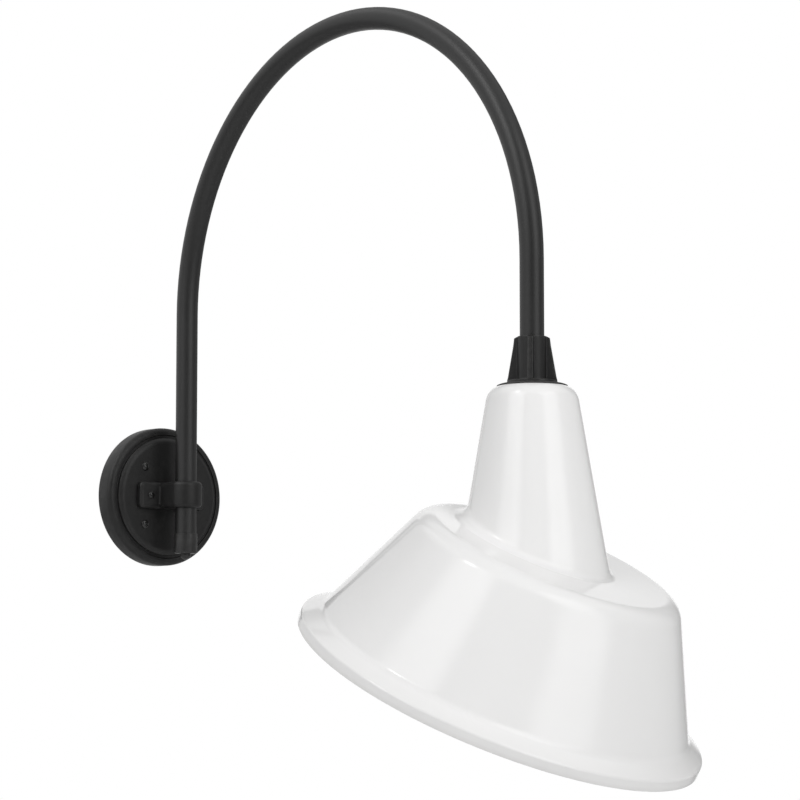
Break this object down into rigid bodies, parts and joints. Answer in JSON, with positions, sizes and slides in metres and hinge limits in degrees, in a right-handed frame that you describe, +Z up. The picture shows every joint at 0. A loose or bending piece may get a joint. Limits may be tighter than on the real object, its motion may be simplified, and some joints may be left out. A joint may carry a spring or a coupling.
{
  "type": "barn light",
  "caption": "Wall light: a clamp plate holds a gooseneck tube arm that arches over to a ribbed fitter and a tilted, flared bowl shade with a screw lamp holder.",
  "frame": {"origin": "centre of the wall plate, on the wall, at the middle of the two box screws", "axes": "the light stands out from the wall along -Y; +Z is up; +X runs along the wall, to the right for someone who faces the wall"},
  "size_m": [0.4053, 0.7639, 0.7929],
  "materials": {
    "black_powder_coat": "satin black powder coat",
    "white_enamel": "gloss white enamel, inside and outside",
    "porcelain": "glossy off-white glaze",
    "brass": "plain, slightly dull",
    "zinc_steel": "zinc plated",
    "black_rubber": "matt, moulded",
    "green_screw": "green passivated earth screw",
    "lead_black": "black insulation",
    "lead_white": "white insulation",
    "lead_green": "green insulation"
  },
  "bodies": {
    "wall_mount": {"wall_plate": "black_powder_coat", "wall_gasket": "black_rubber", "mounting_plate": "zinc_steel", "plate_screws": "black_powder_coat", "ground_screw": "green_screw", "wire_bushing": "black_rubber", "clamp_cradle": "black_powder_coat", "cradle_screws": "zinc_steel", "clamp_strap": "black_powder_coat", "clamp_screws": "black_powder_coat", "clamp_nuts": "zinc_steel", "supply_lead_black": "lead_black", "supply_lead_white": "lead_white", "supply_lead_green": "lead_green"},
    "arm": {"arm_tube": "black_powder_coat", "end_cap": "black_powder_coat", "cap_finial": "black_powder_coat", "arm_lead_black": "lead_black", "arm_lead_white": "lead_white", "arm_lead_green": "lead_green"},
    "shade_head": {"fitter": "black_powder_coat", "fitter_screw": "zinc_steel", "shade_washer": "black_rubber", "threaded_nipple": "zinc_steel", "shade": "white_enamel", "inner_washer": "zinc_steel", "locknut": "zinc_steel", "bracket_nut": "zinc_steel", "socket_bracket": "zinc_steel", "socket_body": "porcelain", "screw_shell": "brass", "centre_contact": "brass", "socket_screws": "zinc_steel", "terminal_screws": "brass", "bracket_ground_screw": "green_screw", "socket_lead_black": "lead_black", "socket_lead_white": "lead_white", "socket_lead_green": "lead_green"}
  },
  "joints": [
    {"name": "arm_swivel", "type": "hinge", "parent": "wall_mount", "child": "arm", "pos_m": [0, -0.0574, 0], "axis": [0, 0, 1], "range_deg": [-45, 45]},
    {"name": "shade_turn", "type": "hinge", "parent": "arm", "child": "shade_head", "pos_m": [0, -0.6162, 0.1], "axis": [0, 0, 1], "range_deg": [-180, 180]}
  ]
}
